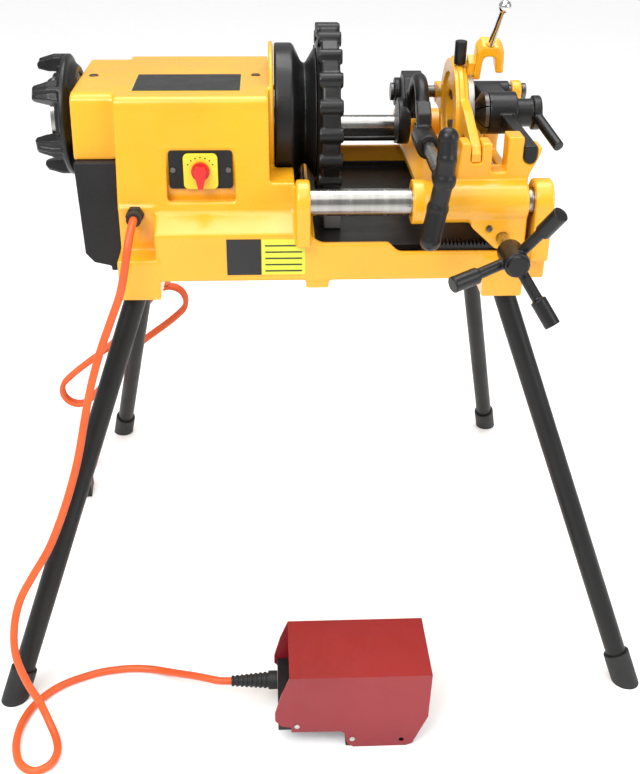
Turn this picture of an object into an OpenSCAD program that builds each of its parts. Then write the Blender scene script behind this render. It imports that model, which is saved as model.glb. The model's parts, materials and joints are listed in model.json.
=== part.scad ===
// Bench pipe threading machine on four splayed legs, with its foot pedal.
// X runs along the spindle, Y towards the back, Z up. The origin lies on the
// floor under the middle of the machine and its pedal. Millimetres.

/* [Placing] */
// How far the spindle axis lies behind the origin
machine_y = 20; // [18:0.5:22]
// Height of the spindle axis above the floor
spindle_z = 690; // [689:0.5:691]
// Height of the rails above the floor
rail_z = 628; // [627:0.5:629]
// Half the distance between the two rails
rail_y = 170; // [169:0.5:171]

/* [Base] */
// Underside of the base casting
base_z = 534; // [532:1:535]
// Left end of the base casting
base_left = -244.5; // [-245:0.5:-243]
// Right end of the base casting
base_right = 271; // [270:0.5:273]
// Half the width of the base casting
base_half = 185; // [184:0.5:186]
// Wall thickness of the castings
wall = 7; // [6:0.5:8]
// Top of the deck that carries the headstock
deck_z = 617; // [616:0.5:618]
// Front lip of the well, beside the chuck
lip_high = 582; // [580:1:584]
// Front lip of the well, under the carriage
lip_low = 570; // [569:1:572]
// Radius of a rail
rail_r = 15.875; // [15.8:0.005:15.9]
// Radius of a rail boss
boss_r = 27; // [26:0.5:28]

/* [Legs] */
// Radius of a leg tube
leg_r = 13.35; // [13.3:0.05:13.5]
// Radius of a rubber cap
cap_r = 17; // [16:0.5:18]
// Height of a rubber cap
cap_h = 40; // [35:1:45]

/* [Headstock] */
// Top of the headstock casting
head_top = 740; // [739:0.5:741]
// Left end of the headstock
head_left = -298; // [-299:0.5:-297]
// Step between the narrow left part and the main part
head_step = -245; // [-246:0.5:-244]
// Right end of the headstock's main part
head_right = -62; // [-62.5:0.5:-61.5]
// Thickness of the top cover
cover_t = 10; // [9:0.5:11]

/* [Spindle] */
// Radius of the pipe passage
bore_r = 31; // [30:0.5:31]
// Outer radius of the spindle tube
tube_r = 36; // [35.5:0.5:36]
// Outer radius of the bronze bushes
bush_r = 39.5; // [39:0.5:40]
// Rim radius of the hammer wheel
wheel_r = 108; // [106:1:109]
// Number of striking lugs on the hammer wheel
wheel_lugs = 20; // [12:1:20]
// Rim radius of the rear scroll disc
disc_r = 75; // [72:1:77]

/* [Carriage] */
// Radius of a carriage sleeve
sleeve_r = 25; // [24:0.5:26]
// Left end of the front sleeve
sleeve_left = 105; // [104:1:108]
// Right end of both sleeves
sleeve_right = 243; // [242:0.5:244]
// Radius of the shaft that the tools swing on
pivot_r = 8; // [7.5:0.1:8]
// Distance of that shaft behind the spindle axis
pivot_y = 110; // [109:0.5:111]
// Height of that shaft
pivot_z = 692; // [691:0.5:693]

/* [Feed] */
// Place of the feed shaft along the machine
feed_x = 215; // [214:0.5:216]
// Height of the feed shaft
feed_z = 588; // [587.5:0.5:588.5]
// Tooth module of the feed rack and its pinion
feed_module = 1.5; // [1.5:0.5:1.5]
// Number of teeth on the feed pinion
feed_teeth = 14; // [14:1:14]

/* [Pedal] */
// Left end of the pedal guard's roof
pedal_left = -48; // [-50:1:-46]
// Right end of the pedal guard
pedal_right = 126; // [124:1:128]
// Front face of the pedal guard
pedal_front = -423; // [-424:0.5:-422]
// Rear face of the pedal guard
pedal_back = -318; // [-320:0.5:-316]
// Height of the pedal guard
pedal_h = 116; // [114:1:120]

/* [Cords] */
// Radius of the pedal cord
pedal_cord_r = 5; // [4.5:0.5:5.5]
// Radius of the mains cord
mains_cord_r = 4.5; // [4:0.5:5]

/* [Hidden] */
$fn = 64;
eps = 0.01;
slack = 0.3;         // gap between pieces that move past each other
run_fit = 0.05;      // radial gap of a running fit
seat_fit = 0.03;     // radial gap of a fixed seat
YELLOW = "gold";
BLACK = [0.08, 0.08, 0.08];
STEEL = "silver";
RUBBER = [0.15, 0.15, 0.15];
ORANGE = "orangered";
RED = [0.6, 0.1, 0.1];

front_foot = [409, -321];
front_head = [210, -140];
rear_foot = [343, 365];
rear_head = [222, 158];
leg_top = 560;
leg_end = 556;
cap_sole = 8;
socket_h = 51;
cover_z = head_top - cover_t;
tray_z = 562;            // underside of the chip tray, over the oil

gear_m = 1.5;
spindle_teeth = 60;
idler_small_teeth = 20;
idler_large_teeth = 28;
pinion_teeth = 16;
idler_z = spindle_z - gear_m * (spindle_teeth + idler_small_teeth) / 2;
motor_z = idler_z - gear_m * (idler_large_teeth + pinion_teeth) / 2;
motor_r = 48;
shaft_r = 6;
gear_x = [-110, -92];
train_x = [-128, -112];

chuck_x = 26;            // front face of the chuck body
jaw_rest_r = 34;         // inner end of an open chuck jaw
jaw_slot = [4, 20];      // place of the chuck jaws' slots along X
hub_r = 58;              // radius of the chuck body inside the hammer wheel
rear_hub_r = 52;
rear_x = [-332, -303];
rear_jaw_x = [-329, -319];

switch_at = [-144.5, -133, 658];
plate_screw_x = 33;
shoulder_z = 594;        // front edge of the deck's sloping shoulder
shelf_z = 643;           // top of the headstock's low right end
gland_at = [-224, -152, 609];
mains_exit = [-180, 150, 534];

cutter_x = [112, 148];
screw_at = [132, 676];
die_x = [170, 186];
cam_x = [186.4, 194];
die_r = 72;
die_hole = 30;
die_rest_r = 22;
ball_foot = [209, -3, 99];    // ends of the ball lever, about the die head's own axes
ball_top = [213, -28, 177];
lever_r = 4.2;
reamer_x = [206, 272];
quill_r = 18;
notch_x = 244;
notch_z = 680.5;
rest_slot = [174, 187];
rest_z = 673;

hank_at = [-326, 338, 192];
hank_lean = 45;          // lean of the hank from upright
hank_w = 64;
hank_t = 32;
hank_run = 250;          // length of the straight part of the hank
boot_at = [-122, -339, 36];
sheet_t = 2;             // thickness of the pedal guard's sheet
treadle_pin = [-22, 36];  // place (x, z) of the pin that the treadle swings on

// Hand-placed routes, from the end that leaves the machine.
pedal_route = [
    [-224, -174, 609], [-224, -184, 609], [-225, -197, 605], [-227, -208, 596],
    [-230, -215, 580], [-234, -217, 560], [-242, -216, 530], [-254, -217, 500],
    [-270, -222, 460], [-283, -231, 420], [-293, -242, 380], [-303, -256, 335],
    [-315, -268, 295], [-330, -280, 255], [-347, -291, 218], [-367, -303, 188],
    [-384, -316, 160], [-392, -332, 130], [-391, -348, 98], [-380, -358, 63],
    [-365, -366, 34], [-353, -380, 14], [-342, -400, 6], [-337, -422, 5.4],
    [-343, -442, 5.4], [-361, -451, 5.4], [-380, -438, 5.4], [-390, -410, 5.4],
    [-391, -380, 5.4], [-385, -353, 5.4], [-374, -332, 5.4], [-360, -315, 5.4],
    [-345, -303, 5.4], [-328, -294, 5.4], [-303, -284, 5.4], [-276, -279, 5.4],
    [-252, -278, 5.4], [-229, -282, 6.2], [-210, -292, 11], [-192, -305, 19],
    [-173, -319, 28], [-154, -331, 34], [-138, -338, 36], [-122, -339, 36]];
mains_route = [
    [-180, 150, 516], [-180, 151, 498], [-184, 156, 478], [-193, 168, 452],
    [-206, 188, 424], [-217, 214, 396], [-224, 244, 370], [-230, 277, 347],
    [-238, 311, 325], [-248, 336, 309], [-257, 347, 300]];
plug_route = [
    [-337, 329, 203], [-346, 326, 190], [-351, 320, 170], [-354, 312, 145],
    [-358, 303, 118], [-363, 292, 90], [-369, 279, 60], [-376, 262, 32],
    [-382, 243, 14], [-386, 220, 7], [-388, 190, 8]];

// ---- placing and shape helpers ----

// Puts a piece of the machine, drawn about the spindle's plane, in the part's frame.
module machine() translate([0, machine_y, 0]) children();

// Puts a piece drawn about the X axis on the spindle axis.
module on_spindle() machine() translate([0, 0, spindle_z]) children();

module rod_x(x, r) translate([x[0], 0, 0]) rotate([0, 90, 0]) cylinder(h = x[1] - x[0], r = r);
module rod_y(y, r) translate([0, y[0], 0]) rotate([-90, 0, 0]) cylinder(h = y[1] - y[0], r = r);

// Extrudes a (y, z) outline along X, and an (x, z) outline along Y.
module extrude_x(x) translate([x[0], 0, 0]) rotate([90, 0, 90]) linear_extrude(x[1] - x[0]) children();
module extrude_y(y) translate([0, y[1], 0]) rotate([90, 0, 0]) linear_extrude(y[1] - y[0]) children();

// Turns an (r, x) outline about the X axis.
module revolve_x() rotate([0, 90, 0]) rotate_extrude($fn = 96) children();

// A box from its lowest to its highest corner.
module span(low, high) translate(low) cube(high - low);

// A round rod between two points.
module rod(a, b, r) {
    d = b - a;
    flat = norm([d[0], d[1]]);
    translate(a) rotate([0, atan2(flat, d[2]), atan2(d[1], d[0])]) rotate(25)
        cylinder(h = norm(d), r = r);
}

module rounded_plate(w, h, r) {
    square([w - 2 * r, h], center = true);
    square([w, h - 2 * r], center = true);
    for (i = [-1, 1], k = [-1, 1])
        translate([i * (w / 2 - r), k * (h / 2 - r)]) circle(r = r);
}

// A spur gear's outline with straight-sided teeth, and the first tooth at `phase`.
function gear_points(teeth, m, phase) = [
    for (i = [0 : teeth - 1], k = [[-0.30, -1.15], [-0.12, 0.8], [0.12, 0.8], [0.30, -1.15]])
        let (a = phase + 360 * (i + k[0]) / teeth, r = m * teeth / 2 + m * k[1])
            [r * cos(a), r * sin(a)]];
module gear(x, teeth, m, phase) extrude_x(x) polygon(gear_points(teeth, m, phase));

// ---- free cords ----

function unit(v) = v / norm(v);
function spline_point(p, i, t) =
    let (n = len(p) - 1, a = p[max(i - 1, 0)], b = p[i], c = p[i + 1], d = p[min(i + 2, n)])
        0.5 * (2 * b + (c - a) * t + (2 * a - 5 * b + 4 * c - d) * t * t
            + (3 * b - a - 3 * c + d) * t * t * t);
function smooth_route(p, steps) = concat(
    [for (i = [0 : len(p) - 2], s = [0 : steps - 1]) spline_point(p, i, s / steps)],
    [p[len(p) - 1]]);
function tangent(p, i) = unit(p[min(i + 1, len(p) - 1)] - p[max(i - 1, 0)]);
function carried(v, t) = unit(v - (v * t) * t);
function normals(p, i, v) = i == len(p) ? [] :
    let (n = carried(v, tangent(p, i))) concat([n], normals(p, i + 1, n));

// A tube swept along a route, as one closed solid.
module tube(route, r, sides, steps) {
    p = smooth_route(route, steps);
    side = normals(p, 0, [0.6, 0.8, 0.1]);
    last = len(p) - 1;
    points = [for (i = [0 : last], k = [0 : sides - 1])
        let (n = side[i], b = cross(tangent(p, i), n), a = 360 * k / sides)
            p[i] + r * (cos(a) * n + sin(a) * b)];
    quads = [for (i = [0 : last - 1], k = [0 : sides - 1])
        let (q = (k + 1) % sides)
            [i * sides + k, (i + 1) * sides + k, (i + 1) * sides + q, i * sides + q]];
    ends = [[for (k = [0 : sides - 1]) k], [for (k = [sides - 1 : -1 : 0]) last * sides + k]];
    polyhedron(points = points, faces = concat(quads, ends), convexity = 12);
}

// ---- base, tray and rails ----

module deck_outline(front, inset) {
    h = base_half - inset;
    edge = shoulder_z - inset / 2;
    shoulder = front < h ? [[-front, deck_z - inset]] : [[-front, edge], [-152 + inset, 610 - inset]];
    polygon(concat([[-front, base_z + inset]], shoulder, [[-150 + inset, deck_z - inset],
        [150 - inset, deck_z - inset], [h, edge], [h, base_z + inset]]));
}

module leg_axis(side, z0, z1, r) {
    foot = side[1] < 0 ? front_foot : rear_foot;
    head = side[1] < 0 ? front_head : rear_head;
    f = [for (z = [z0, z1]) let (k = z / leg_top)
        [side[0] * (foot[0] + (head[0] - foot[0]) * k), foot[1] + (head[1] - foot[1]) * k, z]];
    rod(f[0], f[1], r);
}

module leg_socket(side) {
    inner = side[1] < 0 ? 196 : 203;
    y = side[1] < 0 ? [-base_half - 2, -130] : [136, base_half + 6];
    x = side[0] > 0 ? [inner, inner + 50] : [-inner - 50, -inner];
    span([x[0], y[0], base_z + 28 - socket_h], [x[1], y[1], base_z + 28]);
}

module base_shell() {
    difference() {
        union() {
            extrude_x([base_left, -200]) deck_outline(152, 0);
            extrude_x([-200, -15]) deck_outline(base_half, 0);
            span([-15 - eps, -base_half, base_z], [base_right, base_half, lip_high]);
            span([-15 - eps, 150, base_z], [base_right, base_half, 597]);
            span([256, -base_half, base_z], [base_right, base_half, 600]);
            // Webs that carry the rail bosses at both ends.
            for (s = [-1, 1]) {
                translate([0, s * rail_y, 0]) span([-32, -boss_r, 580], [-15, boss_r, rail_z]);
                translate([0, s * rail_y, 0]) span([250, -boss_r, 560], [base_right, boss_r, rail_z]);
                translate([0, s * rail_y, rail_z]) rod_x([-32, -15], boss_r);
                translate([0, s * rail_y, rail_z]) rod_x([250, base_right + 1], boss_r);
            }
            extrude_y([-base_half, -base_half + wall]) polygon(concat([[-16, lip_high - 1]],
                [for (a = [180 : 15 : 270]) [3 + 18 * cos(a), lip_high + 18 + 18 * sin(a)]],
                [[3, lip_high - 1]]));
        }
        // Motor space under the deck, and the opening above it.
        extrude_x([base_left + wall, -192]) deck_outline(152 - wall, wall);
        extrude_x([-193, -22]) deck_outline(base_half - wall, wall);
        span([-225, -110, deck_z - 2 * wall], [-66, 110, deck_z + 1]);
        // The well, its lowered front lip and the chuck's clearance.
        span([-8, -base_half + wall, base_z + wall], [250, base_half - wall, 700]);
        extrude_y([-base_half - 1, -base_half + wall + 1]) polygon([[78, lip_high + 1], [82, 579], [88, 573],
            [93, lip_low], [250, lip_low], [250, 700], [78, 700]]);
    }
}

module base_casting() color(YELLOW) machine() difference() {
    union() {
        base_shell();
        for (sx = [-1, 1], sy = [-1, 1]) leg_socket([sx, sy]);
        span([-20, -base_half + 2, base_z - 11], [8, -140, base_z + 1]);
    }
    for (sx = [-1, 1], sy = [-1, 1]) leg_axis([sx, sy], 480, leg_end, leg_r + run_fit);
    for (s = [-1, 1]) translate([0, s * rail_y, rail_z]) {
        rod_x([-33, 260], rail_r + seat_fit);
    }
    translate([0, 0, spindle_z]) rod_x([-66, -8], 92);
    translate([0, 0, spindle_z]) rod_x([-12, 44], 119);
    translate([0, 0, motor_z]) rod_x([base_left - 1, -220], motor_r + 2);
    // The gland's hole in the front, and the mains lead's in the floor.
    translate(gland_at) rod_y([-4, 14], 7);
    translate([mains_exit[0], mains_exit[1], base_z - 1]) cylinder(h = wall + 2, r = 7);
}

module chip_tray() color(BLACK) machine() difference() {
    span([-7, -156, tray_z], [249, 177, 574]);
    span([-4, -153, tray_z + 3], [246, 174, 600]);
    span([-8, -157, lip_low - 1], [250, -150, 600]);
    translate([0, 0, spindle_z]) rod_x([-12, 44], 118);
}

module rail(y) color(STEEL) machine() translate([0, y, rail_z]) rod_x([-31, 259], rail_r);
module rail_front() rail(-rail_y);
module rail_rear() rail(rail_y);

module feed_rack() color("dimgray") machine() difference() {
    span([120, -178, 563], [249, -160, feed_z - feed_module * feed_teeth / 2 + 1.2]);
    pitch = PI * feed_module;
    line = feed_z - feed_module * feed_teeth / 2;
    for (i = [-20 : 7]) translate([feed_x + i * pitch, 0, line]) extrude_y([-178, -159])
        polygon([[-0.7, -2.1], [-1.75, 1.8], [1.75, 1.8], [0.7, -2.1]]);
}

// ---- legs ----

module leg(side) color(BLACK) machine() difference() {
    leg_axis(side, cap_sole, leg_end - 1, leg_r);
    leg_axis(side, cap_sole - 10, leg_end + 10, leg_r - 3);
}
module leg_front_left() leg([-1, -1]);
module leg_front_right() leg([1, -1]);
module leg_rear_left() leg([-1, 1]);
module leg_rear_right() leg([1, 1]);

module leg_cap(side) {
    foot = side[1] < 0 ? front_foot : rear_foot;
    difference() {
        intersection() {
            leg_axis(side, -20, cap_h, cap_r);
            translate([side[0] * foot[0], foot[1], 50]) cube(100, center = true);
        }
        leg_axis(side, cap_sole, cap_h + 20, leg_r + run_fit);
    }
}

module leg_caps() color(RUBBER) machine() for (sx = [-1, 1], sy = [-1, 1]) leg_cap([sx, sy]);

// ---- headstock ----

module head_outline(inset, top) polygon([[-150 + inset, deck_z], [-120 + inset, top],
    [120 - inset, top], [150 - inset, deck_z]]);
module left_outline(inset) polygon([[-112 + inset, 664 + inset], [-104 + inset, cover_z],
    [104 - inset, cover_z], [112 - inset, 664 + inset]]);

module headstock_casting() color(YELLOW) machine() difference() {
    union() {
        difference() {
            union() {
                extrude_x([head_step, head_right]) head_outline(0, cover_z);
                extrude_x([head_left, head_step]) left_outline(0);
                extrude_x([head_right - eps, -32.3]) intersection() {
                    head_outline(0, cover_z);
                    translate([-200, deck_z]) square([400, shelf_z - deck_z]);
                }
                translate([0, 0, spindle_z]) rod_x([head_right - eps, -56], 90);
            }
            extrude_x([head_step + wall, -86]) translate([0, -1]) head_outline(wall + 1, cover_z + 3);
            extrude_x([head_left + wall, -264]) left_outline(wall);
            // The switch's upright pocket in the sloping front.
            span([-185, -160, 622], [-104, switch_at[1], 690]);
        }
        span([-191, switch_at[1], deck_z], [-98, -122, 684]);
        span([-264, -56, 671], [head_step + wall, 56, cover_z]);
    }
    on_axis_cuts();
    translate([0, 0, motor_z]) rod_x([-250, -230], motor_r + 2);
    translate([0, 0, idler_z]) rod_x([-87, -66], shaft_r + run_fit);
    translate(switch_at) rod_y([-1, 12], 12);
}

module on_axis_cuts() translate([0, 0, spindle_z]) {
    rod_x([-300, -50], tube_r + 0.8);
    rod_x([-86.5, head_right - 2], bush_r + seat_fit);
    rod_x([-264.5, head_step], bush_r + seat_fit);
    rod_x([-56, -30], 91);
}

// The cover's outline: a flat roof with edges rounded over down to the casting's top.
module cover_outline(half, edge) polygon([for (side = [-1, 1], i = [0 : 6])
    let (a = side < 0 ? 15 * i : 90 - 15 * i)
        [side * (half - edge + edge * cos(a)), cover_z + cover_t * sin(a)]]);

module headstock_cover() color(YELLOW) machine() difference() {
    union() {
        extrude_x([head_step, head_right - slack]) cover_outline(121, 11);
        extrude_x([head_left, head_step + eps]) cover_outline(104, 15);
    }
    translate([0, 0, spindle_z]) rod_x([gear_x[0] - 4, gear_x[1] + 4], 48);
    cover_screw_places() {
        translate([0, 0, -20]) cylinder(h = 40, r = 3.2);
        translate([0, 0, -3]) cylinder(h = 10, r = 8);
    }
}

module cover_screw_places() for (x = [-282, -78]) translate([x, 0, head_top]) children();

// The screws of the cover and of the switch's plate.
module cover_screws() color("dimgray") machine() {
    cover_screw_places() {
        translate([0, 0, -2.9]) cylinder(h = 3.4, r = 5.5);
        translate([0, 0, -cover_t + 0.1]) cylinder(h = cover_t - 2, r = 3);
    }
    translate(switch_at) for (x = [-plate_screw_x, plate_screw_x]) translate([x, 0, 0]) {
        rod_y([-4.5, -3 - eps], 3.4);
        rod_y([-3.1, -0.1], 1.9);
    }
}

module motor_guard() color(BLACK) machine() difference() {
    extrude_y([-124, 124]) polygon([[-297, 663.5], [-293, 548], [-283, 536], [-262, 531],
        [-262, 525], [-250, 525], [-245.5, 532], [-245.5, 663.5]]);
    translate([0, 0, spindle_z]) rod_x([-300, -240], 44);
    extrude_y([-121, 121]) polygon([[-294, 660.5], [-290, 549.5], [-281, 539], [-240, 534], [-240, 660.5]]);
}

module motor() color("dimgray") machine() translate([0, 0, motor_z]) difference() {
    union() {
        rod_x([-268, -140], motor_r);
        rod_x([-286, -268], motor_r - 10);
        for (a = [0 : 30 : 330]) rotate([a, 0, 0]) span([-225, -1.5, 0], [-160, 1.5, motor_r + 1]);
        span([-232, -45, -48], [-150, 45, -30]);
    }
    rod_x([-160, -139], shaft_r + run_fit);
}

module spindle_bushes() color("peru") on_spindle() for (x = [[-86, head_right - 2], [-264, head_step]])
    difference() {
        rod_x(x, bush_r);
        rod_x([x[0] - 1, x[1] + 1], tube_r + run_fit);
    }

// ---- switch and glands ----

module switch_plate() color(BLACK) machine() translate(switch_at) difference() {
    extrude_y([-3, 0]) rounded_plate(76, 46, 4);
    for (x = [-plate_screw_x, plate_screw_x]) translate([x, 0, 0]) rod_y([-4, 1], 2);
    rod_y([-4, 1], 4.5);
}

module switch_dial() color("yellow") machine() translate(switch_at) difference() {
    translate([0, 0, -1.2]) extrude_y([-6.5, -3]) rounded_plate(41, 43, 6);
    rod_y([-8, -2], 4 + run_fit);
}

module switch_knob() color("red") machine() translate(switch_at) {
    rod_y([-6.8 - 6, -6.8], 11);
    rod_y([-7, 10], 4);
    extrude_y([-20, -6.8]) polygon([[-8, 3], [-5, 8], [5, 8], [8, 3], [3, -19], [-3, -19]]);
}

// A cable gland that stands on a wall at z = 0, with its nut and its collar.
module gland(cord_r) difference() {
    union() {
        cylinder(h = 10, r = 11, $fn = 6);
        cylinder(h = 22, r = 9);
        translate([0, 0, -wall - 3]) cylinder(h = wall + 4, r = 6.9);
    }
    translate([0, 0, -20]) cylinder(h = 50, r = cord_r + run_fit);
}

module cord_glands() color(RUBBER) machine() {
    translate(gland_at) rotate([90, 0, 0]) gland(pedal_cord_r);
    translate(mains_exit) rotate([180, 0, 0]) gland(mains_cord_r);
}

// ---- spindle, chuck and rear centring device ----

module three_slots(x, w, r) for (a = [0, 120, 240]) rotate([a, 0, 0]) span([x[0], -w / 2, 0], [x[1], w / 2, r]);

module spindle_tube() color(STEEL) on_spindle() difference() {
    union() {
        rod_x([rear_x[1] - 1, -4], tube_r);
        rod_x(rear_x, rear_hub_r);
    }
    rod_x([-340, 0], bore_r);
    three_slots([rear_jaw_x[0], rear_jaw_x[1]], 13, rear_hub_r + 1);
}

module spindle_gear() color("dimgray") on_spindle() difference() {
    gear(gear_x, spindle_teeth, gear_m, -90);
    rod_x([-120, -80], tube_r + seat_fit);
}

module chuck_body() color(BLACK) on_spindle() difference() {
    revolve_x() polygon([[tube_r + seat_fit, -54.5], [88, -54.5], [88, -33], [85, -30], [66, -21], [62, -16],
        [82, -4], [82, -2.5], [hub_r, -2.5], [hub_r, chuck_x], [33, chuck_x],
        [33, -3.8], [tube_r + seat_fit, -3.8]]);
    three_slots(jaw_slot, 18, hub_r + 1);
}

module hammer_wheel() color(BLACK) on_spindle() {
    revolve_x() polygon([[hub_r + slack, -2], [88, -2], [94, 2], [wheel_r - 2, 2], [wheel_r, 4],
        [wheel_r, 23], [wheel_r - 2, 25], [98, 25], [92, 20], [70, 18], [70, 24], [hub_r + slack, 24]]);
    for (i = [0 : wheel_lugs - 1]) rotate([i * 360 / wheel_lugs, 0, 0])
        translate([0, 0, wheel_r - 3.5]) rod_x([-1.5, 28], 9);
}

module chuck_jaw(a) color("dimgray") on_spindle() rotate([a, 0, 0])
    extrude_x([jaw_slot[0] + slack, jaw_slot[1] - slack])
        polygon([[-2.5, jaw_rest_r], [2.5, jaw_rest_r], [8.7, jaw_rest_r + 8], [8.7, hub_r - 0.5],
            [-8.7, hub_r - 0.5], [-8.7, jaw_rest_r + 8]]);
module chuck_jaw_1() chuck_jaw(0);
module chuck_jaw_2() chuck_jaw(120);
module chuck_jaw_3() chuck_jaw(240);

// A lug that tapers towards its tip, with a rib along its back.
module rear_lug() {
    intersection() {
        extrude_y([-16, 16]) polygon([[-318, 54], [-318, disc_r - 3], [-330, disc_r - 3], [-349, 67],
            [-352, 63], [-351, 57], [-338, 54]]);
        translate([0, 0, 40]) linear_extrude(60)
            polygon([[-317, -15], [-317, 15], [-353, 8], [-353, -8]]);
    }
    extrude_y([-3, 3]) polygon([[-318, 56], [-318, disc_r], [-331, disc_r], [-350, 69.5], [-350, 58]]);
}

module rear_disc() color(BLACK) on_spindle() difference() {
    union() {
        revolve_x() polygon([[rear_hub_r + slack, -326], [60, -326], [62, -319], [disc_r - 2, -319],
            [disc_r, -317], [disc_r, -312], [disc_r - 3, -310], [66, -308], [60, -301], [rear_hub_r + slack, -301]]);
        for (a = [52 : 60 : 352]) rotate([a, 0, 0]) rear_lug();
    }
    rod_x([-360, -290], rear_hub_r + slack);
}

module rear_jaw(a) color("dimgray") on_spindle() rotate([a, 0, 0])
    extrude_x([rear_jaw_x[0] + slack, rear_jaw_x[1] - slack])
        polygon([[-2, 33], [2, 33], [6.2, 38], [6.2, 51.5], [-6.2, 51.5], [-6.2, 38]]);
module rear_jaw_1() rear_jaw(0);
module rear_jaw_2() rear_jaw(120);
module rear_jaw_3() rear_jaw(240);

module idler_gear() color("dimgray") machine() translate([0, 0, idler_z]) {
    gear(gear_x, idler_small_teeth, gear_m, 90 + 180 / idler_small_teeth);
    gear(train_x, idler_large_teeth, gear_m, -90);
    rod_x([train_x[0] - 4, -68], shaft_r);
    rod_x([-112 - eps, -110 + eps], 12);
}

module motor_pinion() color("dimgray") machine() translate([0, 0, motor_z]) {
    gear(train_x, pinion_teeth, gear_m, 90 + 180 / pinion_teeth);
    rod_x([-158, train_x[1] + 2], shaft_r);
}

// ---- carriage and feed ----

module front_block() {
    thick = [-168, -138];
    difference() {
        extrude_y(thick) polygon([[156, 630], [163, 697], [rest_slot[0], 697], [rest_slot[0], rest_z],
            [rest_slot[1], rest_z], [rest_slot[1], 697], [199, 697], [199, 662], [217, 662],
            [217, 704], [notch_x - 8, 704], [notch_x - 8, notch_z], [notch_x + 8, notch_z],
            [notch_x + 8, 692], [258, 692], [257, 684], [245, 659], [sleeve_right, 642], [sleeve_right, 630]]);
        translate([notch_x, 0, notch_z]) rod_y([thick[0] - 1, thick[1] + 1], 8);
    }
    extrude_x([199 - eps, 217 + eps]) polygon([[-139, 612], [-139, 664], [-62, 630], [-62, 612]]);
}

module pivot_post(x, foot, back) {
    difference() {
        union() {
            span([x[0], pivot_y - 14, foot], [x[1], back, pivot_z - 4]);
            translate([0, pivot_y, pivot_z]) rod_x(x, 15);
        }
        span([x[0] - 1, pivot_y + 16, 655], [x[1] + 1, rail_y + 1, 720]);
        translate([0, pivot_y, pivot_z]) rod_x([x[0] - 1, x[1] + 1], pivot_r + seat_fit);
    }
}

module carriage_casting() color(YELLOW) machine() difference() {
    union() {
        translate([0, -rail_y, rail_z]) {
            rod_x([sleeve_left, sleeve_right], sleeve_r);
            rod_x([sleeve_left, 120], sleeve_r + 1.5);
        }
        translate([0, rail_y, rail_z]) rod_x([121, sleeve_right], sleeve_r);
        front_block();
        difference() {
            span([125, -160, 608], [240, 160, 620]);
            span([151, -90, 600], [214, 90, 630]);
        }
        for (x = [[150, 158], [198.5, 205]]) pivot_post(x, 612, rail_y);
        pivot_post([275, 289], 660, pivot_y + 16);
        // The rear shelf that reaches the right-hand pivot post.
        span([236, pivot_y - 14, 660], [289, pivot_y + 16, 672]);
        span([205 - eps, pivot_y - 14, 618], [240, pivot_y + 16, 672]);
        extrude_y([-189, -178.5]) polygon([[176, 614], [176, 603], [179, 599], [207, 574], [241, 574],
            [sleeve_right, 580], [sleeve_right, 614]]);
    }
    for (s = [-1, 1]) translate([0, s * rail_y, rail_z]) rod_x([90, 260], rail_r + run_fit);
    translate([feed_x, 0, feed_z]) rod_y([-200, -178], 7 + run_fit);
    translate([198, 0, 600]) rod_y([-200, -185], 3.5);
}

module tool_pivot() color(STEEL) machine() translate([0, pivot_y, pivot_z]) {
    rod_x([108, 292], pivot_r);
    rod_x([107, 111.5], pivot_r + 4);
    rod_x([290, 296], pivot_r + 3);
}

module feed_shaft() color(STEEL) machine() translate([feed_x, 0, feed_z]) {
    rod_y([-252, -158], 7);
    rotate([0, 0, -90]) gear([157.5, 178], feed_teeth, feed_module, -90);
}

module star_handle() color(BLACK) machine() translate([feed_x, -252, feed_z]) {
    difference() {
        union() {
            rod_y([-24, 22], 15);
            rod_y([-29, -24 + eps], 12);
        }
        rod_y([0, 23], 7 + seat_fit);
    }
    for (a = [62, 190, 303]) {
        out = [cos(a), 0, sin(a)];
        tip = 74 * out + [0, -44, 0];
        rod([0, -8, 0] + 9 * out, tip, 6.5);
        rod(tip - 30 * unit(tip - [0, -8, 0]), tip + 4 * unit(tip - [0, -8, 0]), 9.5);
    }
}

// ---- cutter ----

module cutter_frame() color(BLACK) machine() difference() {
    union() {
        translate([0, pivot_y, pivot_z]) {
            rod_x(cutter_x, 15);
            rod_x([cutter_x[0], cutter_x[0] + 10], 19);
        }
        // The bow that reaches over the pipe, from the hinge side to the front.
        translate([132, 0, 688]) rotate([0, 90, 0]) rotate([0, 0, -114])
            rotate_extrude(angle = -166) translate([44, 0]) circle(r = 9);
        extrude_x([123, 141]) polygon([[-70, 680], [-62, 704], [-46, 716], [-35, 714], [-33, 704],
            [-46, 694], [-54, 686], [-56, 680]]);
        translate([screw_at[0], 0, screw_at[1]]) rod_y([-112, -54], 15);
        // The broad web at the back, and the roller carrier on the hinge side.
        extrude_x([119, 147]) polygon([[42, 672], [40, 700], [62, 722], [96, 724], [pivot_y, 706],
            [pivot_y, 680], [84, 672]]);
        translate([0, 62, 664]) rod_x([112, 128], 31);
    }
    translate([0, pivot_y, pivot_z]) rod_x([100, 150], pivot_r + run_fit);
    translate([screw_at[0], 0, screw_at[1]]) rod_y([-113, -40], 8 + run_fit);
}

module cutter_wheel() color(STEEL) machine() translate([screw_at[0], 0, screw_at[1]]) {
    rod_y([-68, -50], 8);
    difference() {
        span([-9, -50 - eps, -9], [9, -30, 9]);
        span([-3, -45, -10], [3, -29, 10]);
    }
    translate([0, -34, 0]) {
        rod_x([-1.5, 1.5], 14);
        rod_x([-9.5, 9.5], 3);
    }
}

module cutter_screw() color(STEEL) machine() translate([screw_at[0], 0, screw_at[1]])
    rod_y([-238, -68 - slack], 8);

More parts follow.
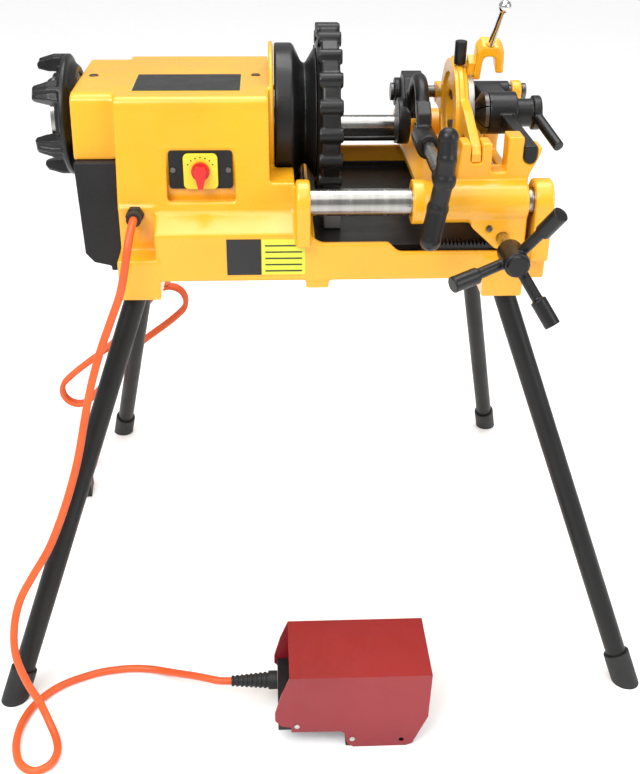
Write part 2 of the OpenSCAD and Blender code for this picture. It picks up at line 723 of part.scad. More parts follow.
module cutter_handle() color(BLACK) machine() translate([screw_at[0], -238, screw_at[1]]) difference() {
    union() {
        rod_y([-6, 16], 12.5);
        sphere(r = 13.6);
        rod([0, 0, 0], [1, -2, 24], 11);
        rod([1, -2, 24], [2, 3, 47], 11);
        rod([0, 0, 0], [-5, 3, -34], 11);
        rod([-5, 3, -34], [-12, -3, -70], 12);
        translate([1, -2, 24]) sphere(r = 11.7);
        translate([-5, 3, -34]) sphere(r = 12.8);
        translate([2, 3, 47]) sphere(r = 11.6);
        translate([-12, -3, -70]) sphere(r = 12.5);
    }
    rod_y([0, 30], 8 + seat_fit);
}

// ---- die head ----

module die_head() color(YELLOW) machine() difference() {
    union() {
        translate([0, 0, spindle_z]) {
            rod_x(die_x, die_r - 3);
            rod_x([die_x[0] + 5, die_x[1] - 5], die_r);
        }
        span([die_x[0], 50, 678], [die_x[1], pivot_y, 706]);
        translate([0, pivot_y, pivot_z]) rod_x([die_x[0] - 1, die_x[1] + 10], 14);
        // The arm that rests in the carriage's slot.
        extrude_x([rest_slot[0] + 0.7, die_x[1]])
            polygon([[-50, 726], [-92, 716], [-120, 706], [-160, 692], [-167, 684], [-166, rest_z + 0.4],
                [-140, rest_z + 0.4], [-124, 688], [-100, 690], [-66, 668], [-50, 668]]);
    }
    translate([0, 0, spindle_z]) {
        rod_x([die_x[0] - 1, die_x[1] + 1], die_hole);
        for (a = [45 : 90 : 315]) rotate([a, 0, 0])
            span([die_x[1] - 10, -7, 0], [die_x[1] + 1, 7, 60]);
        rod_x([die_x[0] - 1, die_x[0] + 3], 52);
    }
    translate([0, pivot_y, pivot_z]) rod_x([150, 200], pivot_r + run_fit);
}

module die(a) color("dimgray") on_spindle() rotate([a, 0, 0])
    extrude_x([die_x[1] - 9.7, die_x[1]])
        polygon([[-3, die_rest_r], [3, die_rest_r], [6.7, die_rest_r + 6], [6.7, 54], [-6.7, 54],
            [-6.7, die_rest_r + 6]]);
module die_1() die(45);
module die_2() die(135);
module die_3() die(225);
module die_4() die(315);

module die_cam() color(STEEL) on_spindle() difference() {
    union() {
        rod_x(cam_x, 66);
        // The size scale's boss and the lever's ears.
        rotate([25, 0, 0]) span([cam_x[0], -9, 58], [cam_x[1], 9, 84]);
    }
    rod_x([cam_x[0] - 1, cam_x[1] + 1], 34);
}

module throwout_lever() color(YELLOW) on_spindle() rotate([25, 0, 0]) difference() {
    extrude_y([-11, 11]) polygon([[cam_x[1], 60], [cam_x[1] + 9, 60], [cam_x[1] + 9, 88], [206, 94],
        [214, 94], [218, 90], [221, 70], [231, 70], [228, 100], [222, 108], [200, 110],
        [cam_x[1], 100]]);
    rod(ball_foot - 0.01 * (ball_top - ball_foot), ball_top, lever_r + seat_fit);
}

module lever_handle() color(STEEL) on_spindle() rotate([25, 0, 0]) {
    rod(ball_foot, ball_top, lever_r);
    translate(ball_top) sphere(r = 7.5);
}

// ---- reamer ----

module reamer_arm() color(BLACK) machine() difference() {
    union() {
        translate([0, pivot_y, pivot_z]) rod_x([208, reamer_x[1]], 14);
        span([224, 22, 676], [258, pivot_y, 704]);
        translate([0, 0, spindle_z]) rod_x([222, 258.5], quill_r + 9);
        translate([notch_x, 0, notch_z]) rod_y([-170, -20], 7.6);
        span([notch_x - 7.6, -170, notch_z], [notch_x + 7.6, -20, notch_z + 14]);
    }
    translate([0, 0, spindle_z]) rod_x([200, 300], quill_r + run_fit);
    translate([0, pivot_y, pivot_z]) rod_x([200, 280], pivot_r + run_fit);
}

module reamer_quill() color(BLACK) machine() translate([0, 0, spindle_z]) {
    rod_x([221, 292], quill_r);
    rod_x([281, 291], quill_r + 4);
    rod([286, -16, -2], [304, -68, -26], 7);
}

module reamer_cone() color(STEEL) machine() translate([0, 0, spindle_z]) difference() {
    revolve_x() polygon([[0, 198], [2, 198], [27, 216], [27, 221], [0, 221]]);
    for (a = [0 : 60 : 300]) rotate([a, 0, 0]) span([190, 0, 6], [222, 1.6, 40]);
}

// ---- foot pedal ----

module pedal_side() difference() {
    polygon([[pedal_left, pedal_h], [-58, 90], [-66, 60], [-66, 48], [-58, 38], [-46, 36], [-46, 28],
        [16, 27], [20, 24], [24, 6], [32, 0], [98, 0], [106, 4], [124, 48], [pedal_right, pedal_h]]);
    translate([92, 10]) circle(r = 3.5);
}

module pedal_guard() color(RED) machine() {
    extrude_y([pedal_front, pedal_front + sheet_t]) pedal_side();
    extrude_y([pedal_back - sheet_t, pedal_back]) pedal_side();
    span([pedal_left, pedal_front, pedal_h - sheet_t], [pedal_right, pedal_back, pedal_h]);
}

module pedal_base() color(BLACK) machine() {
    front = pedal_front + sheet_t;
    back = pedal_back - sheet_t;
    span([22, front, 0], [104, back, 6]);
    span([-62, -392, 0], [22 + eps, -324, 6]);
    span([-62, -392, 6 - eps], [-36, back, 56]);
    span([-62, front, 30], [-36, -392 + eps, 56]);
    for (y = [[front, front + 6], [back - 6, back]]) span([22, y[0], 6 - eps], [36, y[1], 22]);
    translate([treadle_pin[0], 0, treadle_pin[1]]) rod_y([front, back], 3);
}

module pedal_boot() color(RUBBER) machine() translate(boot_at) difference() {
    rotate([0, 90, 0]) rotate_extrude() polygon(concat([[pedal_cord_r + run_fit, 0]],
        [for (i = [0 : 7]) each [[7 + i * 0.5, i * 6], [7 + i * 0.5, i * 6 + 3], [6 + i * 0.5, i * 6 + 3.2],
            [6 + i * 0.5, i * 6 + 5.8]]],
        [[12, 48], [12, 59.8], [pedal_cord_r + run_fit, 59.8]]));
}

module treadle() color("dimgray") machine() difference() {
    union() {
        extrude_y([-410, -331]) polygon([[-22, 34], [96, 47], [104, 50], [103, 53], [95, 51], [-22, 40]]);
        translate([treadle_pin[0], 0, treadle_pin[1]]) rod_y([-410, -331], 7);
    }
    translate([treadle_pin[0], 0, treadle_pin[1]]) rod_y([-430, -310], 3 + run_fit);
}

// ---- cords ----

module pedal_cord() color(ORANGE) machine() tube(pedal_route, pedal_cord_r, 8, 2);

module mains_cord() color(ORANGE) machine() {
    tube(mains_route, mains_cord_r, 8, 2);
    tube(plug_route, mains_cord_r, 8, 2);
}

// The hank's outer shape: long runs with round ends, tied behind the rear left leg.
module mains_hank() color(ORANGE) machine() translate(hank_at) rotate([0, hank_lean, 0])
    extrude_y([-hank_t / 2, hank_t / 2]) {
        square([hank_w, hank_run], center = true);
        for (z = [-1, 1]) translate([0, z * hank_run / 2]) circle(d = hank_w);
    }

module mains_plug() color(BLACK) machine() translate([-388, 190, 14]) rotate([0, 0, 4]) {
    span([-13, -44, -13.5], [13, 0, 13.5]);
    for (x = [-6, 6]) translate([x, 0, 0]) rod_y([-62, -43], 2.3);
}

base_casting();
chip_tray();
leg_front_left();
leg_front_right();
leg_rear_left();
leg_rear_right();
leg_caps();
headstock_casting();
headstock_cover();
cover_screws();
motor_guard();
motor();
spindle_bushes();
rail_front();
rail_rear();
feed_rack();
switch_plate();
switch_dial();
switch_knob();
cord_glands();
spindle_tube();
spindle_gear();
chuck_body();
hammer_wheel();
chuck_jaw_1();
chuck_jaw_2();
chuck_jaw_3();
rear_disc();
rear_jaw_1();
rear_jaw_2();
rear_jaw_3();
idler_gear();
motor_pinion();
carriage_casting();
tool_pivot();
feed_shaft();
star_handle();
cutter_frame();
cutter_wheel();
cutter_screw();
cutter_handle();
die_head();
die_1();
die_2();
die_3();
die_4();
die_cam();
throwout_lever();
lever_handle();
reamer_arm();
reamer_quill();
reamer_cone();
pedal_base();
pedal_guard();
pedal_boot();
treadle();
pedal_cord();
mains_cord();
mains_hank();
mains_plug();
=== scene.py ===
"""Looks of the pipe threading machine: camera, cords, materials, castings and small details."""

import json
import math

import bmesh
import bpy
from mathutils import Matrix, Vector


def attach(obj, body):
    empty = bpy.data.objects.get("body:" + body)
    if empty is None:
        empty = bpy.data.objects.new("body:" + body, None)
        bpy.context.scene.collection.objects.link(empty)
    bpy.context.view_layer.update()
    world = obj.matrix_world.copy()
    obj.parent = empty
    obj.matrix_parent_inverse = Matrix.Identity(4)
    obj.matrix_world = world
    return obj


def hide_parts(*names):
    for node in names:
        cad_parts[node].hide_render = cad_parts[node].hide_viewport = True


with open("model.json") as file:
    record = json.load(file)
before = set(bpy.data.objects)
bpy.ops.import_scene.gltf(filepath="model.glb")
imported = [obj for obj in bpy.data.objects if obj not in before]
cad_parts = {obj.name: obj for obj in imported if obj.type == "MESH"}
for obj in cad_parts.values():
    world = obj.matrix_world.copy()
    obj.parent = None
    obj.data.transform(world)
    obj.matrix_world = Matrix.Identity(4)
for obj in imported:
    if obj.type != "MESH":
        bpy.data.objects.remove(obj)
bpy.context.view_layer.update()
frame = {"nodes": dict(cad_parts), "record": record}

MACHINE_Y = 0.020  # how far the spindle axis lies behind the origin
SPINDLE = Vector((0, MACHINE_Y, 0.690))


def place(x, y, z):
    """A point of the machine in metres, from millimetres about the spindle's plane."""
    return Vector((x / 1000, y / 1000 + MACHINE_Y, z / 1000))


# ---- camera ----


def add_camera():
    yaw, pitch, roll = 0.05146, 0.49836, 0.009
    forward = Vector((math.sin(yaw) * math.cos(pitch), math.cos(yaw) * math.cos(pitch), -math.sin(pitch)))
    level = Vector((math.cos(yaw), -math.sin(yaw), 0))
    upright = level.cross(forward)
    right = level * math.cos(roll) + upright * math.sin(roll)
    up = upright * math.cos(roll) - level * math.sin(roll)
    data = bpy.data.cameras.new("camera")
    data.lens = 50.26
    data.sensor_width = 36
    data.clip_end = 50
    camera = bpy.data.objects.new("camera", data)
    turn = Matrix((right, up, -forward)).transposed().to_4x4()
    camera.matrix_world = Matrix.Translation((-0.0645, -1.3786, 1.0482)) @ turn
    bpy.context.scene.collection.objects.link(camera)
    bpy.context.scene.camera = camera


add_camera()


# ---- materials ----


class Shader:
    """A node material with a Principled shader, and the few nodes that the finishes here share."""

    def __init__(self, name, **sockets):
        self.mat = bpy.data.materials.new(name)
        self.mat.use_nodes = True
        self.tree = self.mat.node_tree
        self.bsdf = self.tree.nodes["Principled BSDF"]
        for key, value in sockets.items():
            self.bsdf.inputs[key.replace("_", " ")].default_value = value
        self.coords = self.tree.nodes.new("ShaderNodeTexCoord").outputs["Object"]
        self.height = None

    def link(self, a, b):
        self.tree.links.new(a, b)

    def stretched(self, scale):
        node = self.tree.nodes.new("ShaderNodeMapping")
        node.inputs["Scale"].default_value = scale
        self.link(self.coords, node.inputs["Vector"])
        return node.outputs["Vector"]

    def noise(self, scale, detail=3, rough=0.5, stretch=None):
        node = self.tree.nodes.new("ShaderNodeTexNoise")
        node.inputs["Scale"].default_value = scale
        node.inputs["Detail"].default_value = detail
        node.inputs["Roughness"].default_value = rough
        self.link(self.stretched(stretch) if stretch else self.coords, node.inputs["Vector"])
        return node.outputs["Fac"]

    def ramp(self, value, low, high, a=0.35, b=0.65):
        node = self.tree.nodes.new("ShaderNodeMapRange")
        node.inputs["From Min"].default_value = a
        node.inputs["From Max"].default_value = b
        node.inputs["To Min"].default_value = low
        node.inputs["To Max"].default_value = high
        self.link(value, node.inputs["Value"])
        return node.outputs["Result"]

    def colours(self, value, *stops):
        node = self.tree.nodes.new("ShaderNodeValToRGB")
        ramp = node.color_ramp
        while len(ramp.elements) < len(stops):
            ramp.elements.new(0.5)
        for element, (at, colour) in zip(ramp.elements, stops):
            element.position = at
            element.color = (*colour, 1)
        self.link(value, node.inputs["Fac"])
        self.link(node.outputs["Color"], self.bsdf.inputs["Base Color"])
        return node

    def rough(self, value, low, high):
        self.link(self.ramp(value, low, high), self.bsdf.inputs["Roughness"])

    def bump(self, value, strength, distance):
        node = self.tree.nodes.new("ShaderNodeBump")
        node.inputs["Strength"].default_value = strength
        node.inputs["Distance"].default_value = distance
        self.link(value, node.inputs["Height"])
        if self.height:
            self.link(self.height, node.inputs["Normal"])
        self.height = node.outputs["Normal"]
        self.link(self.height, self.bsdf.inputs["Normal"])


def enamel(name, dark, light, rough, grain=0.10, coat=0.35, shine=0.5):
    """Gloss enamel on a casting: slight colour drift, orange peel and the casting's own waviness."""
    s = Shader(name, Coat_Weight=coat, Coat_Roughness=0.12, Specular_IOR_Level=shine)
    s.colours(s.noise(7, 4), (0.3, dark), (0.7, light))
    s.rough(s.noise(30, 3), *rough)
    s.bump(s.noise(18, 2), 0.10, 0.004)
    s.bump(s.noise(420, 2), grain, 0.0006)
    return s.mat


def metal(name, dark, light, rough, stretch, grain=0.12):
    """Machined steel with its turning or grinding marks along one direction."""
    s = Shader(name, Metallic=1.0)
    marks = s.noise(1.0, 3, 0.6, stretch)
    s.colours(marks, (0.3, dark), (0.7, light))
    s.rough(marks, *rough)
    s.bump(marks, grain, 0.0003)
    return s.mat


def moulded(name, dark, light, rough, scale=300, grain=0.15, **sockets):
    """Moulded plastic or rubber with a fine even texture."""
    s = Shader(name, **sockets)
    s.colours(s.noise(15, 4), (0.3, dark), (0.7, light))
    s.rough(s.noise(60, 2), *rough)
    s.bump(s.noise(scale, 2), grain, 0.0005)
    return s.mat


YELLOW = enamel("yellow_enamel", (0.82, 0.37, 0.010), (0.90, 0.43, 0.014), (0.26, 0.38))
BLACK = enamel("black_enamel", (0.005, 0.005, 0.005), (0.010, 0.010, 0.010), (0.30, 0.44), 0.35, 0.10, 0.32)
TUBE = enamel("black_tube", (0.006, 0.006, 0.006), (0.011, 0.011, 0.011), (0.36, 0.48), 0.10, 0.0, 0.32)
RED = enamel("red_enamel", (0.22, 0.006, 0.012), (0.28, 0.010, 0.016), (0.36, 0.46), 0.30, 0.1)
RAIL = metal("rail_steel", (0.34, 0.33, 0.31), (0.44, 0.43, 0.41), (0.20, 0.28), (90, 12, 12), 0.01)
BRIGHT = metal("bright_steel", (0.42, 0.41, 0.39), (0.58, 0.57, 0.54), (0.22, 0.34), (300, 60, 60), 0.04)
CHROME = metal("chromed_steel", (0.68, 0.68, 0.68), (0.80, 0.80, 0.80), (0.10, 0.20), (60, 60, 60), 0.03)
DARK = metal("dark_steel", (0.10, 0.098, 0.095), (0.18, 0.175, 0.17), (0.30, 0.45), (160, 160, 160))
BRONZE = metal("bronze", (0.40, 0.22, 0.08), (0.55, 0.33, 0.13), (0.30, 0.42), (300, 60, 60))
IRON = enamel("motor_iron", (0.05, 0.05, 0.055), (0.08, 0.08, 0.085), (0.45, 0.6), 0.3, 0.0)
RUBBER = moulded("rubber", (0.008, 0.008, 0.008), (0.016, 0.016, 0.016), (0.55, 0.7))
PLASTIC = moulded(
    "black_plastic", (0.008, 0.008, 0.009), (0.015, 0.015, 0.016), (0.45, 0.58), 700, 0.3,
    Specular_IOR_Level=0.3,
)
GUARD = moulded(
    "guard_plastic", (0.010, 0.010, 0.011), (0.018, 0.018, 0.020), (0.48, 0.62), 520, 0.4,
    Specular_IOR_Level=0.3,
)
ORANGE = moulded("orange_sheath", (0.64, 0.085, 0.012), (0.74, 0.115, 0.018), (0.38, 0.50), 260, 0.12)
DIAL = moulded("dial_yellow", (0.80, 0.62, 0.02), (0.86, 0.68, 0.04), (0.30, 0.38), 400, 0.05)
SWITCH = moulded("switch_red", (0.60, 0.010, 0.008), (0.68, 0.016, 0.012), (0.24, 0.32), 400, 0.05)
LABEL_BLACK = moulded("label_black", (0.006, 0.006, 0.006), (0.010, 0.010, 0.010), (0.30, 0.38), 600, 0.04)
LABEL_LINE = moulded("label_line", (0.55, 0.42, 0.05), (0.62, 0.48, 0.07), (0.30, 0.38), 600, 0.04)
LABEL_LIME = moulded("label_lime", (0.62, 0.66, 0.04), (0.68, 0.72, 0.06), (0.32, 0.40), 600, 0.04)
GREY = enamel("grey_paint", (0.16, 0.165, 0.17), (0.22, 0.225, 0.23), (0.40, 0.52), 0.2, 0.0)
FLOOR = moulded(
    "pale_floor",
    (0.84, 0.84, 0.84),
    (0.87, 0.87, 0.87),
    (0.75, 0.85),
    90,
    0.03,
    Emission_Color=(1, 1, 1, 1),
    Emission_Strength=0.20,
)

FINISH = {
    "yellow_enamel": YELLOW,
    "black_enamel": BLACK,
    "black_tube": TUBE,
    "bright_steel": BRIGHT,
    "dark_steel": DARK,
    "bronze": BRONZE,
    "motor_iron": IRON,
    "rubber": RUBBER,
    "orange_sheath": ORANGE,
    "red_enamel": RED,
    "black_plastic": PLASTIC,
    "dial_yellow": DIAL,
    "switch_red": SWITCH,
}
SLOT_OF = {s["node"]: s["material_slot"] for s in frame["record"]["subparts"]}
BODY_OF = {n: b for b, ns in frame["record"]["behaviour"]["bodies"].items() for n in ns}


# ---- building pieces ----

WELD = 0.00002  # corners closer than this are one corner
SEAM_REACH = 0.0001  # a corner this close to a seam's height belongs to the seam
SEAM_DEPTH = 0.004  # how far joined castings sink into each other
CREASE = 35  # degrees between faces that keep a sharp edge


def new_piece(name, mesh, material, body):
    """Links a mesh as a piece that rides on a CAD body."""
    piece = bpy.data.objects.new(name, mesh)
    piece.data.materials.clear()
    piece.data.materials.append(material)
    bpy.context.scene.collection.objects.link(piece)
    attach(piece, body)
    return piece


def applied(piece):
    """Applies every modifier on the piece."""
    bpy.context.view_layer.update()
    graph = bpy.context.evaluated_depsgraph_get()
    mesh = bpy.data.meshes.new_from_object(piece.evaluated_get(graph))
    piece.modifiers.clear()
    piece.data = mesh
    return piece


def smooth_by_angle(mesh, degrees):
    """Smooth shading, with sharp edges where faces meet at more than this angle."""
    mesh.polygons.foreach_set("use_smooth", [True] * len(mesh.polygons))
    mesh.set_sharp_from_angle(angle=math.radians(degrees))


def joined_copy(node):
    """A welded copy of a CAD node's mesh, with its flat faces whole again."""
    mesh = frame["nodes"][node].data.copy()
    for name in [a.name for a in mesh.attributes if a.name == "custom_normal"]:
        mesh.attributes.remove(mesh.attributes[name])
    work = bmesh.new()
    work.from_mesh(mesh)
    bmesh.ops.remove_doubles(work, verts=work.verts, dist=WELD)
    for edge in work.edges:
        edge.smooth = True
    work.to_mesh(mesh)
    work.free()
    return mesh


def foundry_finish(piece, voxel, rounds, keep):
    """Rounds off a piece's edges as foundry work is, then thins its mesh to a share of its faces."""
    remesh = piece.modifiers.new("remesh", "REMESH")
    remesh.mode = "VOXEL"
    remesh.voxel_size = voxel
    smooth = piece.modifiers.new("smooth", "SMOOTH")
    smooth.factor = 0.5
    smooth.iterations = rounds
    thin = piece.modifiers.new("thin", "DECIMATE")
    thin.ratio = keep
    applied(piece)
    smooth_by_angle(piece.data, 180)


def cast(node, material, voxel=0.0016, rounds=8, keep=0.35):
    """A casting in place of a CAD node."""
    piece = new_piece(node + "_cast", joined_copy(node), material, BODY_OF[node])
    foundry_finish(piece, voxel, rounds, keep)
    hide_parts(node)


def cast_group(name, nodes, material, seams, voxel=0.0018, rounds=8, keep=0.30):
    """One casting in place of several CAD nodes of one body, sunk into each other at their seams' heights."""
    work = bmesh.new()
    for node in nodes:
        mesh = joined_copy(node)
        for corner in mesh.vertices:
            if any(abs(corner.co.z - z) < SEAM_REACH for z in seams.get(node, ())):
                corner.co.z -= SEAM_DEPTH
        work.from_mesh(mesh)
        bpy.data.meshes.remove(mesh)
    mesh = bpy.data.meshes.new(name)
    work.to_mesh(mesh)
    work.free()
    piece = new_piece(name, mesh, material, BODY_OF[nodes[0]])
    foundry_finish(piece, voxel, rounds, keep)
    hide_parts(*nodes)


def machined(node, material, width=0.0004, degrees=30):
    """A machined piece in place of a CAD node: a small chamfer on its edges."""
    mesh = joined_copy(node)
    work = bmesh.new()
    work.from_mesh(mesh)
    bmesh.ops.dissolve_limit(work, angle_limit=math.radians(1), verts=work.verts, edges=work.edges)
    for face in work.faces:
        face.smooth = True
    work.to_mesh(mesh)
    work.free()
    piece = new_piece(node + "_part", mesh, material, BODY_OF[node])
    bevel = piece.modifiers.new("bevel", "BEVEL")
    bevel.width = width
    bevel.segments = 2
    bevel.limit_method = "ANGLE"
    bevel.angle_limit = math.radians(degrees)
    even = piece.modifiers.new("even", "WEIGHTED_NORMAL")
    even.keep_sharp = False
    applied(piece)
    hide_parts(node)


# ---- cords ----

# The routes repeat the model's own points, in millimetres about the spindle's plane.
PEDAL_ROUTE = [
    (-224, -174, 609), (-224, -184, 609), (-225, -197, 605), (-227, -208, 596),
    (-230, -215, 580), (-234, -217, 560), (-242, -216, 530), (-254, -217, 500),
    (-270, -222, 460), (-283, -231, 420), (-293, -242, 380), (-303, -256, 335),
    (-315, -268, 295), (-330, -280, 255), (-347, -291, 218), (-367, -303, 188),
    (-384, -316, 160), (-392, -332, 130), (-391, -348, 98), (-380, -358, 63),
    (-365, -366, 34), (-353, -380, 14), (-342, -400, 6), (-337, -422, 5.4),
    (-343, -442, 5.4), (-361, -451, 5.4), (-380, -438, 5.4), (-390, -410, 5.4),
    (-391, -380, 5.4), (-385, -353, 5.4), (-374, -332, 5.4), (-360, -315, 5.4),
    (-345, -303, 5.4), (-328, -294, 5.4), (-303, -284, 5.4), (-276, -279, 5.4),
    (-252, -278, 5.4), (-229, -282, 6.2), (-210, -292, 11), (-192, -305, 19),
    (-173, -319, 28), (-154, -331, 34), (-138, -338, 36), (-122, -339, 36),
]  # fmt: skip
MAINS_ROUTE = [
    (-180, 150, 516), (-180, 151, 498), (-184, 156, 478), (-193, 168, 452),
    (-206, 188, 424), (-217, 214, 396), (-224, 244, 370), (-230, 277, 347),
    (-238, 311, 325), (-248, 336, 309), (-257, 347, 300),
]  # fmt: skip
PLUG_ROUTE = [
    (-337, 329, 203), (-346, 326, 190), (-351, 320, 170), (-354, 312, 145),
    (-358, 303, 118), (-363, 292, 90), (-369, 279, 60), (-376, 262, 32),
    (-382, 243, 14), (-386, 220, 7), (-388, 190, 8),
]  # fmt: skip
PEDAL_CORD_R = 0.005
MAINS_CORD_R = 0.0045
HANK_MIDDLE = place(-326, 338, 192)
HANK_LEAN = math.radians(45)
HANK_RUN = 0.250
HANK_W = 0.064


def spline(points, steps):
    """Points of a smooth curve through the route's points."""
    last = len(points) - 1
    line = []
    for i in range(last):
        a, b, c, d = points[max(i - 1, 0)], points[i], points[i + 1], points[min(i + 2, last)]
        for k in range(steps):
            t = k / steps
            line.append(
                0.5
                * (
                    2 * b
                    + (c - a) * t
                    + (2 * a - 5 * b + 4 * c - d) * t * t
                    + (3 * b - a - 3 * c + d) * t * t * t
                )
            )
    return line + [points[last]]


def cord_piece(name, line, radius):
    curve = bpy.data.curves.new(name, "CURVE")
    curve.dimensions = "3D"
    curve.bevel_depth = radius
    curve.bevel_resolution = 4
    curve.use_fill_caps = True
    strand = curve.splines.new("POLY")
    strand.points.add(len(line) - 1)
    for point, where in zip(strand.points, line):
        point.co = (*where, 1)
    strand.use_smooth = True
    curve.materials.append(ORANGE)
    piece = bpy.data.objects.new(name, curve)
    bpy.context.scene.collection.objects.link(piece)
    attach(piece, "machine_frame")
    return piece


def hank_line():
    """The hank's turns, from its upper end at the back: runs with round folds, tied at the middle."""
    along = Vector((math.sin(HANK_LEAN), 0, math.cos(HANK_LEAN)))
    across = Vector((math.cos(HANK_LEAN), 0, -math.sin(HANK_LEAN)))
    half = HANK_RUN / 2
    fold = HANK_W / 2 - MAINS_CORD_R
    pitch = 2.08 * MAINS_CORD_R
    flat = []
    for turn in range(3):
        runs = 12 if turn < 2 else 6
        for side in (-1, 1):
            for k in range(runs):
                u = side * half * (2 * k / 12 - 1)
                pulled = 1 - 0.42 * math.cos(math.pi * u / HANK_RUN) ** 2
                flat.append((u, side * fold * pulled))
            if turn == 2:
                break
            for k in range(8):
                a = math.pi * k / 8
                flat.append((side * (half + fold * math.sin(a)), side * fold * math.cos(a)))
    flat.append((0, -fold * 0.58))
    line = []
    for i, (u, v) in enumerate(flat):
        depth = pitch * (1 - 2.5 * i / len(flat))
        line.append(HANK_MIDDLE + along * u + across * v + Vector((0, depth, 0)))
    return line


def add_cords():
    route = spline([place(*p) for p in PEDAL_ROUTE], 6)
    pedal = cord_piece("pedal_lead", route, PEDAL_CORD_R)
    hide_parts("pedal_cord")
    top = [place(*p) for p in MAINS_ROUTE[:-1]]
    tail = [place(*p) for p in PLUG_ROUTE[1:]]
    route = spline(top + hank_line() + tail, 4)
    mains = cord_piece("mains_lead", route, MAINS_CORD_R)
    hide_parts("mains_cord", "mains_hank")


add_cords()


# ---- castings and machined pieces ----


def add_castings():
    seams = {"headstock_casting": (0.617,), "headstock_cover": (0.730,)}
    cast_group("bed_cast", ["base_casting", "headstock_casting", "headstock_cover"], YELLOW, seams)
    cast("carriage_casting", YELLOW, 0.0016, 8, 0.30)
    cast("die_head", YELLOW, 0.0010, 6, 0.35)
    cast("throwout_lever", YELLOW, 0.0013, 14, 0.50)
    for node in ("chuck_body", "hammer_wheel"):
        cast(node, BLACK, 0.0014, 8, 0.40)
    for node in ("rear_disc", "cutter_frame", "reamer_arm"):
        cast(node, BLACK, 0.0012, 6, 0.40)
    for node in ("star_handle", "cutter_handle", "reamer_quill"):
        cast(node, BLACK, 0.0010, 6, 0.40)
    cast("motor_guard", GUARD, 0.0012, 5, 0.35)
    cast("motor", IRON, 0.0016, 4, 0.40)


def add_machined():
    for node, slot in SLOT_OF.items():
        piece = frame["nodes"][node]
        piece.data.materials.clear()
        piece.data.materials.append(FINISH[slot])
    for node in ("rail_front", "rail_rear", "spindle_tube"):
        machined(node, RAIL, 0.0008)
    machined("tool_pivot", DARK, 0.0006)
    for node in ("feed_shaft", "cutter_screw", "cutter_wheel"):
        machined(node, BRIGHT, 0.0005)
    machined("die_cam", YELLOW, 0.0008)
    machined("reamer_cone", DARK, 0.0003)
    machined("feed_rack", BLACK, 0.0002)
    machined("lever_handle", CHROME, 0.0003)
    for node in ("chuck_jaw_1", "chuck_jaw_2", "chuck_jaw_3", "rear_jaw_1", "rear_jaw_2", "rear_jaw_3"):
        machined(node, DARK, 0.0006)
    for node in ("die_1", "die_2", "die_3", "die_4", "spindle_gear", "idler_gear", "motor_pinion"):
        machined(node, DARK, 0.0002)
    machined("spindle_bushes", BRONZE, 0.0004)
    for node in ("leg_front_left", "leg_front_right", "leg_rear_left", "leg_rear_right"):
        machined(node, TUBE, 0.0005)
    machined("cover_screws", DARK, 0.0004)
    machined("chip_tray", BLACK, 0.0008)
    machined("switch_plate", PLASTIC, 0.0005)
    machined("switch_dial", DIAL, 0.0006)
    machined("switch_knob", SWITCH, 0.0008)
    machined("pedal_base", PLASTIC, 0.0012)
    machined("pedal_guard", RED, 0.0006)
    machined("treadle", PLASTIC, 0.0010)
    for node in ("leg_caps", "cord_glands", "pedal_boot"):
        machined(node, RUBBER, 0.0008)


add_castings()
add_machined()


# ---- small details ----


def shape_mesh(name, build):
    """A mesh from a bmesh operation."""
    work = bmesh.new()
    build(work)
    mesh = bpy.data.meshes.new(name)
    work.to_mesh(mesh)
    work.free()
    return mesh


def softened(work, edges, width, segments):
    """Rounds the given edges over."""
    bmesh.ops.bevel(work, geom=edges, offset=width, segments=segments, profile=0.5, affect="EDGES")


def block(name, low, high, material, body="machine_frame", bevel=0.0):
    """A box between two corners in machine millimetres, with small rounded edges."""
    a, b = place(*low), place(*high)

    def build(work):
        bmesh.ops.create_cube(work, size=1)
        for corner in work.verts:
            corner.co = [a[k] + (b[k] - a[k]) * (corner.co[k] + 0.5) for k in range(3)]
        if bevel:
            softened(work, work.edges[:], bevel, 3)

    mesh = shape_mesh(name, build)
    piece = new_piece(name, mesh, material, body)
    smooth_by_angle(piece.data, CREASE)


def round_bar(name, start, end, radius, material, slot, body, sides=32):
    """A round bar between two points in machine millimetres."""
    a, b = place(*start), place(*end)
    turn = (b - a).to_track_quat("Z", "Y").to_matrix().to_4x4()

    def build(work):
        bmesh.ops.create_cone(
            work,
            cap_ends=True,
            segments=sides,
            radius1=radius,
            radius2=radius,
            depth=(b - a).length,
            matrix=Matrix.Translation((a + b) / 2) @ turn,
        )
        rims = [e for e in work.edges if any(len(f.verts) > 4 for f in e.link_faces)]
        softened(work, rims, min(radius, 0.004) * 0.15, 2)

    mesh = shape_mesh(name, build)
    piece = new_piece(name, mesh, material, body)
    smooth_by_angle(piece.data, CREASE)


def arc_band(name, x, radii, degrees, material, body, steps=24):
    """A band about the spindle axis; angles run from straight up towards the operator."""

    def build(work):
        rows = []
        for i in range(steps + 1):
            a = math.radians(degrees[0] + (degrees[1] - degrees[0]) * i / steps)
            row = []
            for end, r in ((x[0], radii[0]), (x[0], radii[1]), (x[1], radii[1]), (x[1], radii[0])):
                where = SPINDLE + Vector((end / 1000, -math.sin(a) * r / 1000, math.cos(a) * r / 1000))
                row.append(work.verts.new(where))
            rows.append(row)
        for first, second in zip(rows, rows[1:]):
            for k in range(4):
                work.faces.new((first[k], first[(k + 1) % 4], second[(k + 1) % 4], second[k]))
        work.faces.new(rows[0][::-1])
        work.faces.new(rows[-1])
        bmesh.ops.recalc_face_normals(work, faces=work.faces)

    piece = new_piece(name, shape_mesh(name, build), material, body)
    smooth_by_angle(piece.data, CREASE)


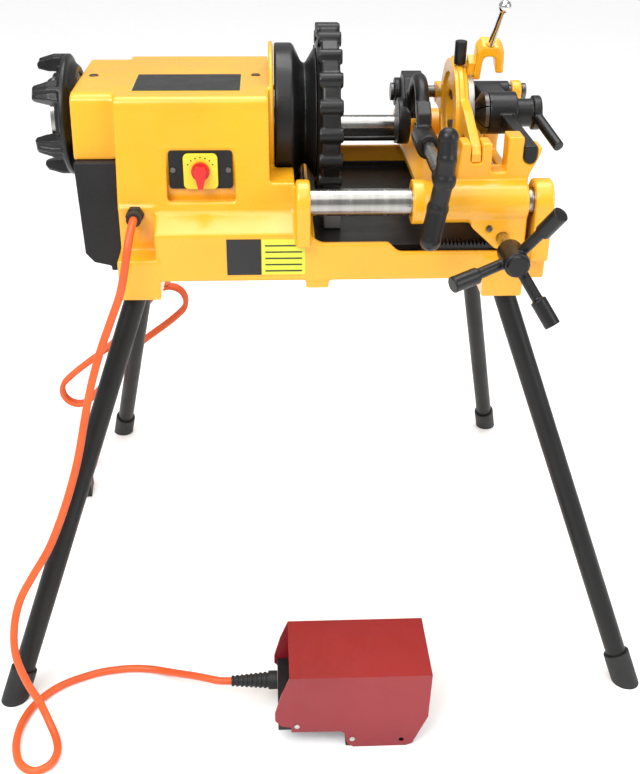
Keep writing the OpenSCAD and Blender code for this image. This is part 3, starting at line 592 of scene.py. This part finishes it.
def add_labels():
    """Blank plates where the machine has its printed labels."""
    block("roof_label_edge", (-227, -89, 738.8), (-95, 1, 740.35), LABEL_LINE)
    block("roof_label", (-225.5, -87.5, 738.8), (-96.5, -0.5, 740.6), LABEL_BLACK)
    back, face = -184, -185.9  # depth of the front labels in the base's wall, and their faces
    bottom, top = 543, 588
    block("front_label_black", (-115, face, bottom), (-74, back, top), LABEL_BLACK)
    block("front_label_lime", (-73.4, face, bottom), (-21, back, top), LABEL_LIME)
    for i in range(5):
        z = 580 - 8 * i
        low, high = (-69, face - 0.3, z - 0.8), (-25, back, z + 0.8)
        block(f"front_label_rule_{i}", low, high, LABEL_BLACK)


def add_fittings():
    """The oil rod, the pump's bracket, small screws, the die head's scale and the dial's marks."""
    round_bar("oil_rod", (24, 125, 622), (122, 125, 622), 0.0035, BLACK, "black_enamel", "carriage")
    block("pump_bracket", (6, -92, 566), (28, -52, 602), GREY, bevel=0.002)
    round_bar("apron_screw", (198, -190.6, 600), (198, -185, 600), 0.0034, DARK, "dark_steel", "carriage")
    arc_band("size_scale", (186.8, 193.6), (65.5, 67.6), (30, 118), BRIGHT, "throwout")
    round_bar("die_knob", (178, -24, 758), (178, -26, 786), 0.0075, BLACK, "black_enamel", "die_block")
    for x, z in ((-39, 38), (30, 14)):
        head, foot = (x, -424.2, z), (x, -422, z)
        round_bar(f"pedal_rivet_{x + 40}", head, foot, 0.0034, BRIGHT, "bright_steel", "machine_frame")
    dial_x, dial_z, ring = -144.5, 657, 17
    for i in range(7):
        a = math.radians(-60 + 20 * i)
        x, z = dial_x + ring * math.sin(a), dial_z + ring * math.cos(a)
        mark = (f"dial_mark_{i}", (x, -139.8, z), (x, -139.2, z), 0.0009)
        round_bar(*mark, LABEL_BLACK, "black_plastic", "machine_frame", sides=12)


add_labels()
add_fittings()


# ---- light and floor ----


def area_light(name, where, target, size, power):
    data = bpy.data.lights.new(name, "AREA")
    data.shape = "RECTANGLE"
    data.size, data.size_y = size
    data.energy = power
    light = bpy.data.objects.new(name, data)
    light.location = where
    light.rotation_euler = (Vector(target) - Vector(where)).to_track_quat("-Z", "Y").to_euler()
    bpy.context.scene.collection.objects.link(light)


def add_studio():
    world = bpy.data.worlds.new("studio")
    world.use_nodes = True
    backdrop = world.node_tree.nodes["Background"]
    backdrop.inputs["Color"].default_value = (1.0, 1.0, 1.0, 1)
    backdrop.inputs["Strength"].default_value = 0.42
    bpy.context.scene.world = world
    area_light("key", (-1.3, -1.8, 2.4), (0, 0, 0.5), (1.6, 1.2), 46)
    area_light("fill", (1.9, -1.5, 1.6), (0, 0, 0.5), (1.4, 1.4), 20)
    area_light("top", (0.2, 0.6, 2.8), (0, 0, 0.6), (1.8, 1.2), 34)
    sun = bpy.data.lights.new("sun", "SUN")
    sun.energy = 1.5
    sun.angle = math.radians(60)
    sun_object = bpy.data.objects.new("sun", sun)
    sun_object.rotation_euler = (math.radians(18), math.radians(-8), 0)
    bpy.context.scene.collection.objects.link(sun_object)
    bpy.ops.mesh.primitive_plane_add(size=30, location=(0, 0, 0))
    floor = bpy.context.object
    floor.name = "floor"
    floor.data.materials.append(FLOOR)
    bpy.context.scene.view_settings.view_transform = "Standard"


add_studio()
